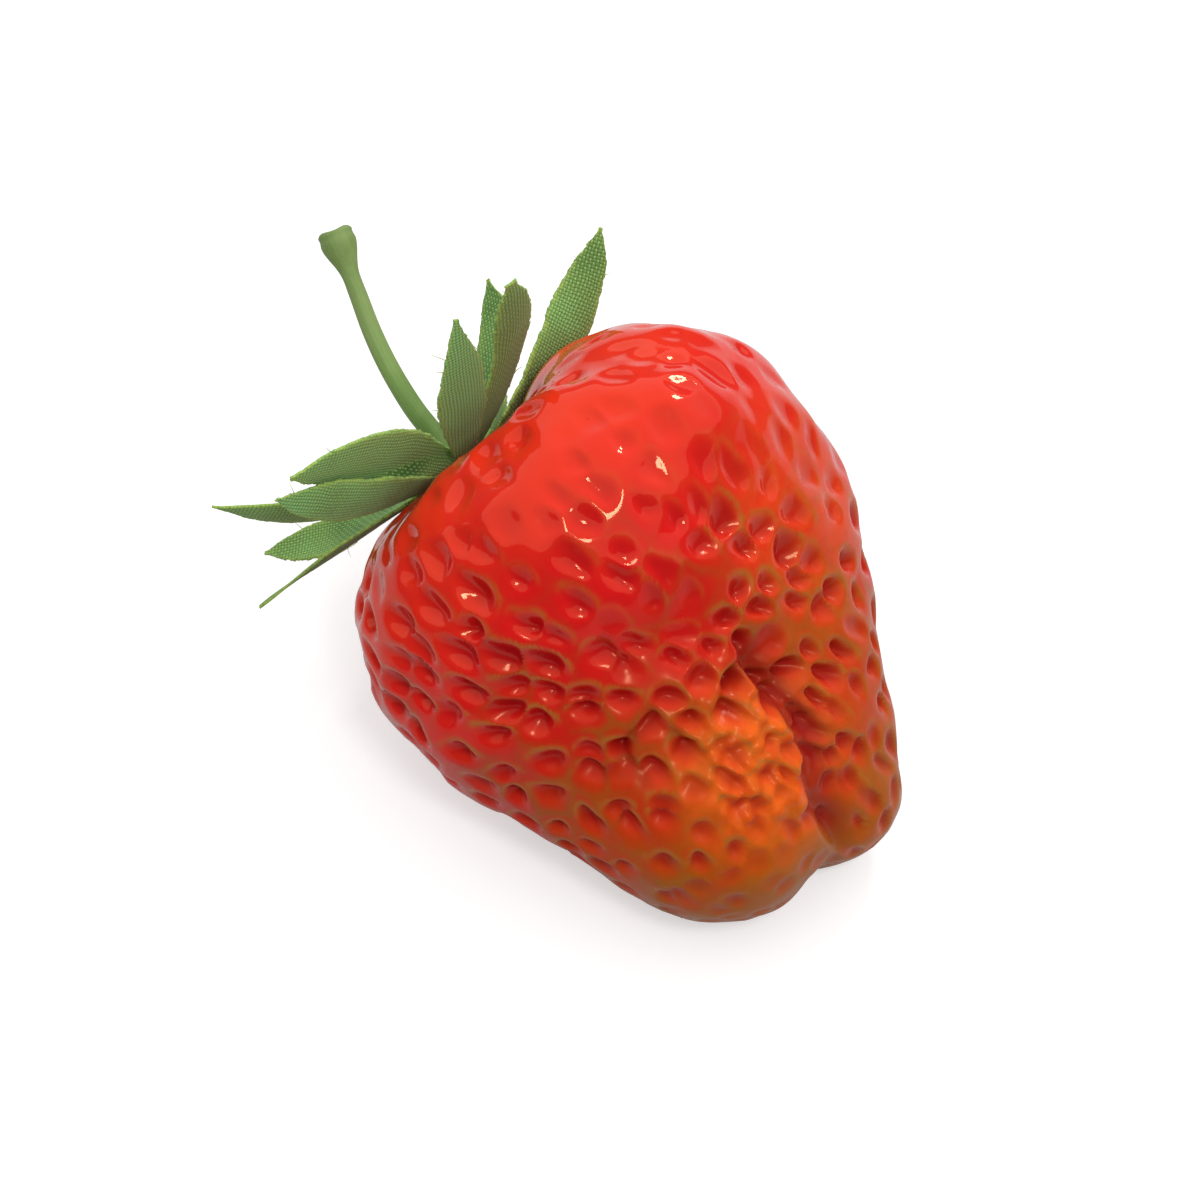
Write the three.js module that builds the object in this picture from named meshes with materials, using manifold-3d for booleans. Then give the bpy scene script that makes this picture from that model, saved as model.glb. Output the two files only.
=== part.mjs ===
// Artificial strawberry: a lacquered, dimpled berry with a cleft tip, a crown of two die-cut
// fabric stars and a moulded stem whose peg holds the stars in the berry.
// Millimetres, +Z up. The berry is shaped upright, tip down, then laid on its side: its tip
// points towards +X and its origin is the middle of the flat spot it rests on.
import * as THREE from 'three';
import { ConvexHull } from 'three/addons/math/ConvexHull.js';
import { mergeVertices } from 'three/addons/utils/BufferGeometryUtils.js';
import Module from 'manifold-3d';

// Berry, upright: x is across both lobes, -y is the side with the cleft, z runs tip to crown.
const CORE = new THREE.Vector3(0, 0, 34);
const DEPTH_RATIO = 0.93;
const SHOULDER_RING = { x: 1, z: 46, radius: 15, tube: 13, lean: 4.5 };
const SHOULDER_BULGE = { centre: [11, -3, 49.5], radius: 14 };
const HEART = { top: [0.5, -0.5, 33.5], topRadius: 22.7, tip: [-1, -2.1, 18.5], tipRadius: 15.9 };
const MAIN_LOBE = { top: [-10, -1, 35.5], topRadius: 17, tip: [-3.5, -3.5, 11.5], tipRadius: 12 };
const SECOND_LOBE = { top: [13.5, 1, 35.5], topRadius: 15.5, tip: [7.5, 3, 8], tipRadius: 9.5 };
const SHOULDER_BLEND = 6;
const HEART_BLEND = 5;
const BULGE_BLEND = 4;
const CLEFT = { sharpBlend: 1.2, addedBlend: 12, fromZ: 12, toZ: 36 };
// The fold above the cleft: points across (x) and up (z) the front of the berry.
const FOLD = { points: [[9.6, 29.5], [8.6, 24.5], [8.8, 19.5], [7.6, 12]], halfWidth: 1.7, depth: 2 };
const DIMPLES = { count: 560, crowding: 1.48, radius: 1.9, depth: 0.9, clearOfCrown: 10 };

// Crown and stem, measured from the middle of the crown.
const CROWN = new THREE.Vector3(-6, 0, 59.2);
const CLOTH = 0.4;
const STAR_HUB = { inner: 1.7, outer: 3.6, root: 2.6, sides: 32 };
const STAR_LIFT = 0.8;
const LEAF = { tipWidth: 0.5, rootShare: 0.42, widestAt: 0.45, taperPower: 2.2, steps: 12 };
const LEAF_ACROSS = [-1, -0.5, 0, 0.5, 1];
// Each leaf: compass bearing of its root, rise at root and tip, sideways sweep, twist at root
// and tip (all degrees), then length and width.
const LOWER_LEAVES = [
  { bearing: 10, rise: [9, 40], sweep: -16, twist: [1, -86], length: 29.5, width: 6.8 },
  { bearing: 70, rise: [16, 25], sweep: 3, twist: [3, 9], length: 27, width: 6.6 },
  { bearing: 166, rise: [10, 3], sweep: -8, twist: [0, 0], length: 27, width: 6.4 },
  { bearing: -130, rise: [3, 25], sweep: 8, twist: [-2, 25], length: 27.5, width: 6.6 },
  { bearing: -74, rise: [12, 29], sweep: 7, twist: [2, -9], length: 27, width: 6.6 },
];
const UPPER_LEAVES = [
  { bearing: 45, rise: [20, 60], sweep: 2, twist: [1, 17], length: 27, width: 6.6 },
  { bearing: 126, rise: [4, 30], sweep: 20, twist: [10, -55], length: 28.5, width: 6.6 },
  { bearing: -156, rise: [6, 45], sweep: 4, twist: [5, -6], length: 27, width: 6.6 },
  { bearing: -103, rise: [17, 11], sweep: -41, twist: [8, 21], length: 27, width: 6.6 },
  { bearing: -34, rise: [18, 20], sweep: -44, twist: [8, 0], length: 27, width: 6.6 },
];
const STEM_PATH = [[0, -6.2], [0, 0], [-0.1, 5], [-0.1, 9], [0.5, 14], [1.5, 18.5], [2.9, 23], [4.9, 29.5]];
const STEM = { peg: 1.2, collar: 2.1, collarFrom: 1.5, collarLength: 3, base: 1.45, neck: 1.1 };
const STEM_HEAD = { radius: 2.05, length: 4.5, flare: 3.7, flarePower: 1.5 };
// The head's rounded end: share of its radius, and how far past the end of the path.
const STEM_END = [[0.8, 0.5], [0.4, 0.7]];
const STEM_MESH = { sides: 16, steps: 44, ledge: 0.01 };
const PEG_HOLE = { radius: 1.5, depth: 7, above: 6, sides: 24 };

// Lying pose.
const LIE_TILT = 24;
const LIE_ROLL = 70.2;
const FLOOR_BELOW_CORE = 19.8;
const REST_SPOT = [-11.5, -1];

// Working precision.
const WELD = 1e-5;
const SEARCH = { from: 4, step: 2, within: 1e-3 };

const wasm = await Module();
wasm.setup();

function material(color, roughness, metalness = 0) {
  return new THREE.MeshStandardMaterial({ color, roughness, metalness });
}

const looks = {
  lacquer: material(0xc8281c, 0.15),
  lowerCloth: material(0x5f7440, 0.85),
  upperCloth: material(0x728a4c, 0.85),
  stemPlastic: material(0x7c9664, 0.45),
};

function named(name, geometry, look) {
  const mesh = new THREE.Mesh(geometry, look);
  mesh.name = name;
  geometry.computeVertexNormals();
  return mesh;
}

// Joining and cutting.
function toSolid(geometry) {
  const bare = geometry.clone();
  bare.deleteAttribute('normal');
  bare.deleteAttribute('uv');
  const merged = mergeVertices(bare, WELD);
  const vertProperties = new Float32Array(merged.attributes.position.array);
  const triVerts = new Uint32Array(merged.index.array);
  return new wasm.Manifold(new wasm.Mesh({ numProp: 3, vertProperties, triVerts }));
}

function toGeometry(solid) {
  const mesh = solid.getMesh();
  const geometry = new THREE.BufferGeometry();
  geometry.setAttribute('position', new THREE.BufferAttribute(mesh.vertProperties, 3));
  geometry.setIndex(new THREE.BufferAttribute(mesh.triVerts, 1));
  return geometry;
}

// Berry surface: the zero level of a blend of rounded shapes, positive outside.
function blend(a, b, width) {
  const overlap = Math.max(width - Math.abs(a - b), 0) / width;
  return Math.min(a, b) - overlap * overlap * width / 4;
}

function clamp01(value) {
  return Math.min(Math.max(value, 0), 1);
}

function ease(value) {
  const t = clamp01(value);
  return t * t * (3 - 2 * t);
}

function ballField(p, { centre, radius }) {
  const [x, y, z] = centre;
  return Math.hypot(p.x - x, (p.y - y) / DEPTH_RATIO, p.z - z) - radius;
}

function lobeField(p, { top, topRadius, tip, tipRadius }) {
  const along = [tip[0] - top[0], (tip[1] - top[1]) / DEPTH_RATIO, tip[2] - top[2]];
  const from = [p.x - top[0], (p.y - top[1]) / DEPTH_RATIO, p.z - top[2]];
  const dot = from[0] * along[0] + from[1] * along[1] + from[2] * along[2];
  const t = clamp01(dot / (along[0] ** 2 + along[1] ** 2 + along[2] ** 2));
  const gap = Math.hypot(...from.map((value, i) => value - t * along[i]));
  return gap - (topRadius + (tipRadius - topRadius) * t);
}

function ringField(p) {
  const lean = THREE.MathUtils.degToRad(SHOULDER_RING.lean);
  const dx = p.x - SHOULDER_RING.x;
  const dz = p.z - SHOULDER_RING.z;
  const x = dx * Math.cos(lean) + dz * Math.sin(lean);
  const z = dz * Math.cos(lean) - dx * Math.sin(lean);
  const outward = Math.hypot(x, p.y / DEPTH_RATIO) - SHOULDER_RING.radius;
  return Math.hypot(outward, z) - SHOULDER_RING.tube;
}

function berryField(p) {
  const rise = ease((p.z - CLEFT.fromZ) / (CLEFT.toZ - CLEFT.fromZ));
  const cleftBlend = CLEFT.sharpBlend + CLEFT.addedBlend * rise;
  const lobes = blend(lobeField(p, MAIN_LOBE), lobeField(p, SECOND_LOBE), cleftBlend);
  const filled = blend(lobes, lobeField(p, HEART), HEART_BLEND);
  const shoulders = blend(ringField(p), filled, SHOULDER_BLEND);
  return blend(shoulders, ballField(p, SHOULDER_BULGE), BULGE_BLEND);
}

function foldDepth(p) {
  if (p.y > 0) return 0;
  let nearest = Infinity;
  for (let i = 1; i < FOLD.points.length; i += 1) {
    const [x0, z0] = FOLD.points[i - 1];
    const [x1, z1] = FOLD.points[i];
    const t = clamp01(((p.x - x0) * (x1 - x0) + (p.z - z0) * (z1 - z0)) / ((x1 - x0) ** 2 + (z1 - z0) ** 2));
    nearest = Math.min(nearest, Math.hypot(p.x - x0 - t * (x1 - x0), p.z - z0 - t * (z1 - z0)));
  }
  return FOLD.depth * Math.exp(-((nearest / FOLD.halfWidth) ** 2));
}

// Dimples follow a golden-angle spiral from the tip, crowded towards it.
function dimpleDirections() {
  const golden = Math.PI * (3 - Math.sqrt(5));
  return Array.from({ length: DIMPLES.count }, (_, i) => {
    const share = ((i + 0.5) / DIMPLES.count) ** DIMPLES.crowding;
    const z = 2 * share - 1;
    const around = Math.sqrt(1 - z * z);
    return new THREE.Vector3(around * Math.cos(i * golden), around * Math.sin(i * golden), z);
  });
}

function dimpleDepth(direction, distance, seeds, p) {
  if (Math.hypot(p.x - CROWN.x, p.y - CROWN.y) < DIMPLES.clearOfCrown && p.z > CORE.z) return 0;
  let nearest = Infinity;
  for (const seed of seeds) {
    nearest = Math.min(nearest, 1 - seed.dot(direction));
  }
  const gap = Math.sqrt(2 * nearest) * distance / DIMPLES.radius;
  return gap < 1 ? DIMPLES.depth * (1 - gap * gap) ** 2 : 0;
}

// Upright direction that faces up once the berry lies on its side.
const tilt = THREE.MathUtils.degToRad(LIE_TILT);
const roll = THREE.MathUtils.degToRad(LIE_ROLL);
const lyingUp = new THREE.Vector3(
  Math.cos(tilt) * Math.cos(roll),
  -Math.cos(tilt) * Math.sin(roll),
  Math.sin(tilt),
);

function surfaceDistance(direction) {
  let inside = SEARCH.from;
  let outside = SEARCH.from;
  const p = new THREE.Vector3();
  const fieldAt = (distance) => berryField(p.copy(direction).multiplyScalar(distance).add(CORE));
  while (fieldAt(outside) < 0) {
    inside = outside;
    outside += SEARCH.step;
  }
  while (outside - inside > SEARCH.within) {
    const middle = (inside + outside) / 2;
    if (fieldAt(middle) > 0) outside = middle;
    else inside = middle;
  }
  return inside;
}

// Triangles of the points on a sphere, as triples of point numbers.
function sphereTriangles(points) {
  const numberOf = new Map(points.map((point, i) => [point, i]));
  return new ConvexHull().setFromPoints(points).faces.map(({ edge }) => (
    [edge.prev, edge, edge.next].map((side) => numberOf.get(side.head().point))
  ));
}

// Each dimple is a cup: its middle, a ring half-way out, and a rim shared with its neighbours.
// The rims are the middles of the triangles between the dimples.
function cupMesh(seeds) {
  const triangles = sphereTriangles(seeds);
  const directions = [...seeds];
  const between = (...vectors) => vectors.reduce((sum, v) => sum.add(v), new THREE.Vector3()).normalize();
  const add = (direction) => directions.push(direction) - 1;
  const rims = triangles.map((corners) => add(between(...corners.map((i) => seeds[i]))));
  const rings = triangles.map((corners, t) => (
    corners.map((i) => add(between(seeds[i], directions[rims[t]])))
  ));
  const edges = new Map();
  triangles.forEach((corners, t) => {
    corners.forEach((from, k) => edges.set(`${from},${corners[(k + 1) % 3]}`, { t, k }));
  });
  const index = [];
  for (const [key, left] of edges) {
    const [from, to] = key.split(',').map(Number);
    const right = edges.get(`${to},${from}`);
    const ringLeft = rings[left.t][left.k];
    const ringRight = rings[right.t][(right.k + 1) % 3];
    index.push(from, ringRight, ringLeft);
    index.push(ringRight, rims[right.t], rims[left.t]);
    index.push(ringRight, rims[left.t], ringLeft);
  }
  return { directions, index };
}

function berryGeometry() {
  const seeds = dimpleDirections();
  const { directions, index } = cupMesh(seeds);
  const points = directions.map((direction) => {
    const smooth = surfaceDistance(direction);
    const down = -direction.dot(lyingUp);
    const floor = down > 0 ? FLOOR_BELOW_CORE / down : Infinity;
    const p = direction.clone().multiplyScalar(smooth).add(CORE);
    const carved = smooth - foldDepth(p) - dimpleDepth(direction, smooth, seeds, p);
    return direction.clone().multiplyScalar(floor < smooth ? floor : carved).add(CORE);
  });
  const geometry = new THREE.BufferGeometry().setFromPoints(points);
  geometry.setIndex(index);
  return geometry;
}

// A closed skin over a grid of rings; ring i is closed around, and its ends are capped.
function loftGeometry(rings) {
  const around = rings[0].length;
  const middle = (ring) => ring.reduce((sum, q) => sum.add(q), new THREE.Vector3()).divideScalar(around);
  const points = [...rings.flat(), middle(rings[0]), middle(rings[rings.length - 1])];
  const first = rings.length * around;
  const index = [];
  for (let j = 0; j < around; j += 1) {
    const next = (j + 1) % around;
    for (let i = 0; i < rings.length - 1; i += 1) {
      const a = i * around;
      const b = a + around;
      index.push(a + j, a + next, b + j, a + next, b + next, b + j);
    }
    const end = first - around;
    index.push(first, next, j, first + 1, end + j, end + next);
  }
  const geometry = new THREE.BufferGeometry().setFromPoints(points);
  geometry.setIndex(index);
  return geometry;
}

// One leaf: a cloth strip that leaves the hub at its bearing, rises, sweeps and twists.
function leafHalfWidth(u, width) {
  const swell = ease(u / LEAF.widestAt);
  const taper = 1 - clamp01((u - LEAF.widestAt) / (1 - LEAF.widestAt)) ** LEAF.taperPower;
  const share = (LEAF.rootShare + (1 - LEAF.rootShare) * swell) * taper;
  return Math.max(width * share, LEAF.tipWidth) / 2;
}

function leafGeometry({ bearing, rise, sweep, twist, length, width }, lift) {
  const toRad = THREE.MathUtils.degToRad;
  const at = new THREE.Vector3(Math.cos(toRad(bearing)), Math.sin(toRad(bearing)), 0);
  at.multiplyScalar(STAR_HUB.root).setZ(lift);
  const heading = (u) => {
    const turn = toRad(bearing + sweep * u);
    const climb = toRad(THREE.MathUtils.lerp(rise[0], rise[1], u));
    const forward = new THREE.Vector3(Math.cos(turn), Math.sin(turn), 0).multiplyScalar(Math.cos(climb));
    forward.z = Math.sin(climb);
    const side = new THREE.Vector3(-Math.sin(turn), Math.cos(turn), 0);
    side.applyAxisAngle(forward, toRad(THREE.MathUtils.lerp(twist[0], twist[1], u)));
    return { forward, side, normal: new THREE.Vector3().crossVectors(forward, side) };
  };
  const rings = [];
  for (let i = 0; i <= LEAF.steps; i += 1) {
    const u = i / LEAF.steps;
    const { side, normal } = heading(u);
    const half = leafHalfWidth(u, width);
    const place = (v, up) => (
      at.clone().addScaledVector(side, v * half).addScaledVector(normal, up * CLOTH / 2)
    );
    const under = LEAF_ACROSS.map((v) => place(v, -1));
    const over = LEAF_ACROSS.toReversed().map((v) => place(v, 1));
    rings.push([...under, ...over]);
    at.addScaledVector(heading(u + 0.5 / LEAF.steps).forward, length / LEAF.steps);
  }
  return loftGeometry(rings);
}

function starGeometry(leaves, lift) {
  const [low, high] = [lift - CLOTH / 2, lift + CLOTH / 2];
  const { inner, outer, sides } = STAR_HUB;
  const section = [[inner, low], [outer, low], [outer, high], [inner, high], [inner, low]];
  const profile = section.map(([x, y]) => new THREE.Vector2(x, y));
  const hub = new THREE.LatheGeometry(profile, sides).rotateX(Math.PI / 2);
  const solids = leaves.map((leaf) => toSolid(leafGeometry(leaf, lift)));
  const joined = solids.reduce((star, leaf) => star.add(leaf), toSolid(hub));
  return toGeometry(joined);
}

// Stem: peg, collar, slim neck and a flared head, lofted along its curve.
function stemRadius(height, top) {
  if (height < STEM.collarFrom) return STEM.peg;
  const { lerp } = THREE.MathUtils;
  const headFrom = top - STEM_HEAD.length;
  const collar = lerp(STEM.collar, STEM.base, ease((height - STEM.collarFrom) / STEM.collarLength));
  const slim = lerp(collar, STEM.neck, clamp01(height / headFrom) ** 2);
  const flare = ease((height - headFrom) / STEM_HEAD.flare) ** STEM_HEAD.flarePower;
  return lerp(slim, STEM_HEAD.radius, flare);
}

function stemGeometry() {
  const curve = new THREE.CatmullRomCurve3(STEM_PATH.map(([x, z]) => new THREE.Vector3(x, 0, z)));
  const top = STEM_PATH[STEM_PATH.length - 1][1];
  const { sides, steps, ledge } = STEM_MESH;
  const ringAt = (t, radius, shift = 0) => {
    const along = curve.getTangentAt(t);
    const middle = curve.getPointAt(t).addScaledVector(along, shift);
    const across = new THREE.Vector3(along.z, 0, -along.x);
    return Array.from({ length: sides }, (_, j) => {
      const turn = j / sides * 2 * Math.PI;
      const q = middle.clone().addScaledVector(across, radius * Math.cos(turn));
      q.y += radius * Math.sin(turn);
      return q;
    });
  };
  const rings = [];
  for (let i = 0; i <= steps; i += 1) {
    const t = i / steps;
    const height = curve.getPointAt(t).z;
    const before = rings.length ? curve.getPointAt((i - 1) / steps).z : height;
    if (before < STEM.collarFrom && height >= STEM.collarFrom) {
      rings.push(ringAt(t, STEM.peg, -ledge));
    }
    rings.push(ringAt(t, stemRadius(height, top)));
  }
  STEM_END.forEach(([share, past]) => rings.push(ringAt(1, STEM_HEAD.radius * share, past)));
  return loftGeometry(rings);
}

function pegHoleGeometry() {
  const { radius, depth, above, sides } = PEG_HOLE;
  const hole = new THREE.CylinderGeometry(radius, radius, depth + above, sides).rotateX(Math.PI / 2);
  hole.translate(0, 0, (above - depth) / 2);
  return hole.applyMatrix4(crown.matrix);
}

// Assembly: everything on the crown shares its lean.
const crown = new THREE.Group();
crown.position.copy(CROWN);
crown.rotation.y = -THREE.MathUtils.degToRad(SHOULDER_RING.lean);
crown.updateMatrix();
crown.add(named('calyx_lower', starGeometry(LOWER_LEAVES, 0), looks.lowerCloth));
crown.add(named('calyx_upper', starGeometry(UPPER_LEAVES, STAR_LIFT), looks.upperCloth));
crown.add(named('stem', stemGeometry(), looks.stemPlastic));

const berry = toGeometry(toSolid(berryGeometry()).subtract(toSolid(pegHoleGeometry())));

const rolled = new THREE.Group();
rolled.position.copy(CORE).applyAxisAngle(new THREE.Vector3(0, 0, 1), roll).negate();
rolled.rotation.z = roll;
rolled.add(named('berry_body', berry, looks.lacquer), crown);

const lying = new THREE.Group();
lying.rotation.y = tilt - Math.PI / 2;
lying.position.set(-REST_SPOT[0], -REST_SPOT[1], FLOOR_BELOW_CORE);
lying.add(rolled);

const group = new THREE.Group();
group.add(lying);

export default group;
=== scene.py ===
"""Artificial strawberry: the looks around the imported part.

Shapes are worked out in millimetres in the upright frame that the part's source uses: tip down,
crown up, the cleft on the -y side. to_row() lays them on their side, in metres, in the row frame.
"""

import math

import bpy
import numpy as np
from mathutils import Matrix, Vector


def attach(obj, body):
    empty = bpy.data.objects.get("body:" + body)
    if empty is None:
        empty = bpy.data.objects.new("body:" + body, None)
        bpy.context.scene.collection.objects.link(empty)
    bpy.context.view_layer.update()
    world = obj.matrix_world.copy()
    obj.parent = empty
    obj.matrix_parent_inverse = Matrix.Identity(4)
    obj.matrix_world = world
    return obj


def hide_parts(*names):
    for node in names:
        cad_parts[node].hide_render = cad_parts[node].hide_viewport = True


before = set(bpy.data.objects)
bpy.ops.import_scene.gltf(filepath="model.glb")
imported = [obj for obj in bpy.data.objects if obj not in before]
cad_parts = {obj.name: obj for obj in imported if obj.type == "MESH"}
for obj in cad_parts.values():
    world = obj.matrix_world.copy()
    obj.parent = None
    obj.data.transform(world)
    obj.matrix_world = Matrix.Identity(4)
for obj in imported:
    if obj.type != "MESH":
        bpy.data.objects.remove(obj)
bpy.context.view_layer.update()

MM = 0.001

# Berry, as in the part's source.
CORE = np.array([0.0, 0.0, 34.0])
SQUASH = np.array([1.0, 0.93, 1.0])
RING = {"x": 1, "z": 46, "radius": 15, "tube": 13, "lean": math.radians(4.5)}
BULGE = {"centre": (11, -3, 49.5), "radius": 14}
HEART = {"top": (0.5, -0.5, 33.5), "top_radius": 22.7, "tip": (-1, -2.1, 18.5), "tip_radius": 15.9}
MAIN_LOBE = {"top": (-10, -1, 35.5), "top_radius": 17, "tip": (-3.5, -3.5, 11.5), "tip_radius": 12}
SECOND_LOBE = {"top": (13.5, 1, 35.5), "top_radius": 15.5, "tip": (7.5, 3, 8), "tip_radius": 9.5}
SHOULDER_BLEND, HEART_BLEND, BULGE_BLEND = 6, 5, 4
CLEFT = {"sharp": 1.2, "added": 12, "low": 12, "span": 24}
CLEAR_OF_CROWN = {"low": 9, "span": 2}
PEG_HOLE = {"radius": 1.5, "depth": 7, "inset": 0.1, "edge": 0.25, "below": -5}
# How the skin is found along a ray from the core: steps out, then halvings between two of them.
SEARCH = {"from": 4.0, "to": 46, "step": 2.0, "halvings": 12}
# What each random draw starts from.
SEEDS = {
    "places": 11, "sizes": 7, "wrinkles": 17, "lumps": 21, "dents": 23, "warp": 31, "lower": 3, "upper": 5,
}

# Relief of the skin, in millimetres. One dimple takes an area of skin that grows from tip to shoulder.
DIMPLE_AREA = {"tip": 11.5, "shoulder": 23, "low": 4, "span": 46}
DIMPLE_SCATTER = 0.025
SPIRAL = {"start": 0.01, "stop": 0.25, "rings": 160, "rays": 24}
SPREAD = {"size": 0.12, "strength": 0.28, "weakest": 0.35, "strongest": 1.6}
# A dimple is a wide bowl with a pit in it. Reaches are shares of the pitch, or of the pit for its rim.
BOWL = {"reach": 0.6, "depth": 0.42}
PIT = {
    "reach": 0.42, "steep_way": 0.88, "level_way": 1.18,
    "power": 1.9, "lean_power": 0.6, "lean_depth": 0.25,
}
PIT_DEPTH = {"tip": 0.3, "added": 0.65, "low": 1, "span": 24}
RIM = {"at": 1.12, "width": 0.19, "height": 0.05, "lean": 0.3}
RIDGE = {"low": 0.5, "span": 0.5}
# Low down the steep side of a pit faces the crown; higher up it faces round the berry.
STEEP_SIDE = {"low_down": 55, "high_up": 25, "low": 26, "span": 16}
WORN_TIP = {"low": -1, "span": 14, "lost": 0.55}
WORN_SIDE = {"low": 4, "span": 4}
WARP = {"waves": 9, "shortest": 3.5, "longest": 9, "reach": 0.34}
# Dimples fade towards the shoulder, lower down on the second lobe's side, and in one bare patch.
FAINT_SHOULDER = {"low": 38, "span": 12, "left": 0.3, "lean": 0.4}
BARE_PATCH = {"centre": (3, -22, 34), "reach": 9, "left": 0.45}
# The cleft's fold climbs from foot to head with a sway, steep on the main lobe's side.
CLEFT_FOLD = {
    "foot": 6, "head": 10, "top": 27, "sway": 0.9, "half_waves": 3, "depth": 2.1,
    "steep": 0.75, "gentle": 2.6, "ends": 6,
}
WRINKLES = {
    "count": 9, "across": (-13, 15), "up": (10, 32), "length": (2, 5), "depth": (0.5, 0.9), "width": 0.8,
}
LUMPS = {"waves": 48, "shortest": 3.2, "longest": 14, "curve": 0.022}
QUILT = {"centre": (5, -15.5, 14), "reach": 9, "pitch": 3.1, "height": 0.4, "turn": 28, "bend": (0.8, 0.7)}
DENTS = {"count": 34, "polar": (22, 66), "radius": (1.6, 2.6), "depth": (0.12, 0.3)}
DENT_RIM = {"at": 1.2, "width": 0.3, "height": 0.25}
GOLDEN_ANGLE = math.pi * (3 - math.sqrt(5))

# Where the skin's colour changes. The orange patches are painted light; the folds and the pit walls take
# painted shade and light.
ORANGE_LIGHT_PATCHES = [
    {"centre": (4.5, -15, 12), "reach": 10, "share": 1},
    {"centre": (24, -12, 32), "reach": 13, "share": 0.4},
]
# The second lobe's tint starts at a leaning line and ends at a height.
SECOND_SIDE = {"low": 9, "span": 3, "lean": 0.15}
SECOND_TOP = {"height": 24, "fade": 8}
SKIN_HEIGHT = 60
DEEPEST_FOLD = 1.6
WALL_BAND = {"at": 0.6, "width": 0.3}

# Crown and stem, close to the part's source; some leaves and the stem's section are a little different.
CROWN = np.array([-6, 0, 59.2])
HUB = {"inner": 1.7, "outer": 3.6, "root": 2.6}
UPPER_LIFT = 0.8
# 0.3 is the least that a sheet may state; the cloth itself is 0.22 of it below and 0.24 above.
# Every leaf, unless its own row says otherwise: angles in degrees, at the root and at the tip.
LEAF = {"length": 27, "width": 6.6, "root": 0.42, "widest": 0.45, "taper": 2.2, "tip": 0.5, "cup": 0.35}
LOWER_LEAVES = [LEAF | own for own in (
    {"bearing": 10, "rise": (9, 40), "sweep": -16, "twist": (1, -86), "length": 29.5, "width": 6.8,
     "root": 0.7, "taper": 2.4, "tint": -0.1},
    {"bearing": 70, "rise": (16, 25), "sweep": 3, "twist": (3, 9), "tint": 0.2},
    {"bearing": 166, "rise": (10, 3), "sweep": -8, "twist": (0, 0), "width": 6.4,
     "widest": 0.3, "taper": 0.9, "cup": 0.1, "tint": -0.1},
    {"bearing": -130, "rise": (3, 25), "sweep": 8, "twist": (-2, 25), "length": 27.5, "taper": 2.8,
     "tint": 0.5},
    {"bearing": -74, "rise": (12, 29), "sweep": 7, "twist": (2, -9), "widest": 0.56, "taper": 1.4,
     "tint": 0.9},
)]
UPPER_LEAVES = [LEAF | own for own in (
    {"bearing": 45, "rise": (20, 60), "sweep": 2, "twist": (1, 17), "width": 7.6,
     "widest": 0.62, "taper": 1.5, "tint": -0.4},
    {"bearing": 130, "rise": (4, 28), "sweep": 34, "twist": (10, -55), "length": 28.8, "width": 7.6,
     "root": 0.6, "taper": 2.6, "tint": -0.15},
    {"bearing": -156, "rise": (6, 45), "sweep": 4, "twist": (5, -6), "tint": 0.25},
    {"bearing": -103, "rise": (17, 11), "sweep": -41, "twist": (8, 21), "width": 6.8,
     "taper": 3, "tint": 0.7, "fold": {"until": 0.55, "angle": 38}},
    {"bearing": -34, "rise": (18, 20), "sweep": -44, "twist": (8, 0), "width": 5.7,
     "root": 0.7, "taper": 4, "tip": 1.5, "tint": 0.3},
)]
STEM_PATH = [(0, -6.2), (0, 0), (-0.1, 5), (-0.1, 9), (0.5, 14), (1.5, 18.5), (2.9, 23), (4.9, 29.5)]
STEM = {"peg": 1.2, "collar": 2.0, "low": 1.5, "span": 3, "base": 1.22, "neck": 1.0}
STEM_HEAD = {"radius": 1.95, "length": 5.2, "flare": 4.6, "power": 1.3, "lumpy": 0.07}
# The head's edge is drawn in over its last part; it closes in a flattened dome with a saddle across it.
STEM_END = {"draw_in": 0.06, "over": 0.8, "dome": 1.2, "flat": 0.55, "saddle": 0.3}
STEM_END_ANGLES = np.radians([15, 30, 45, 60, 75, 86])
SAMPLES_EACH_SPAN = 60
GRAIN_PITCH = 12

# Lying pose, as in the part's source.
TILT, ROLL = math.radians(24), math.radians(70.2)
CORE_ROW = np.array([11.5, 1, 19.8])

# Finer than the solids.
CLOTH = 0.3
WEAVE_PITCH = 0.4
THREAD = {
    "each": 3, "from": (0.35, 0.97), "inset": 0.15, "length": (0.6, 2.6), "radius": 0.055, "thinning": 0.6,
    "forward": (0.4, 1.6), "lift": (-0.3, 0.3), "curl": (-0.5, 0.5), "swing": (-0.3, 0.3),
    "steps": 7, "sides": 5, "weave": 0.01,
}
FRAY = {"drift": 0.05, "nick": 0.04}
LEAF_CUP = {"level": 0.4, "wave": 0.12, "pace": 9}
LEAST_HALF = 0.12
EDGE_POWERS = {"sides": 8, "tip": 40}
CREASE = {"from": 0.9, "to": -1.05, "shade": 1.1, "least": 0.02}
HUB_SIDES = 64
BERRY_CUTS = 128
BLOCK = 8192
TINY = 1e-3
LEAF_STEPS, LEAF_ACROSS = 108, 17
STEM_STEPS, STEM_SIDES = 150, 48


def ease(value):
    t = np.clip(value, 0, 1)
    return t * t * (3 - 2 * t)


def lerp(a, b, t):
    return a + (b - a) * t


def rise(value, slope):
    """0 up to the slope's low, eased to 1 over its span."""
    return ease((value - slope["low"]) / slope["span"])


def hump(value, shape):
    """1 at the shape's place, falling away on both sides."""
    return np.exp(-(((value - shape["at"]) / shape["width"]) ** 2))


def span_of(vectors):
    return np.linalg.norm(vectors, axis=-1)


def unit(vectors):
    return vectors / span_of(vectors)[:, None]


def draws(name):
    """A random generator for each use."""
    return np.random.default_rng(SEEDS[name])


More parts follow.
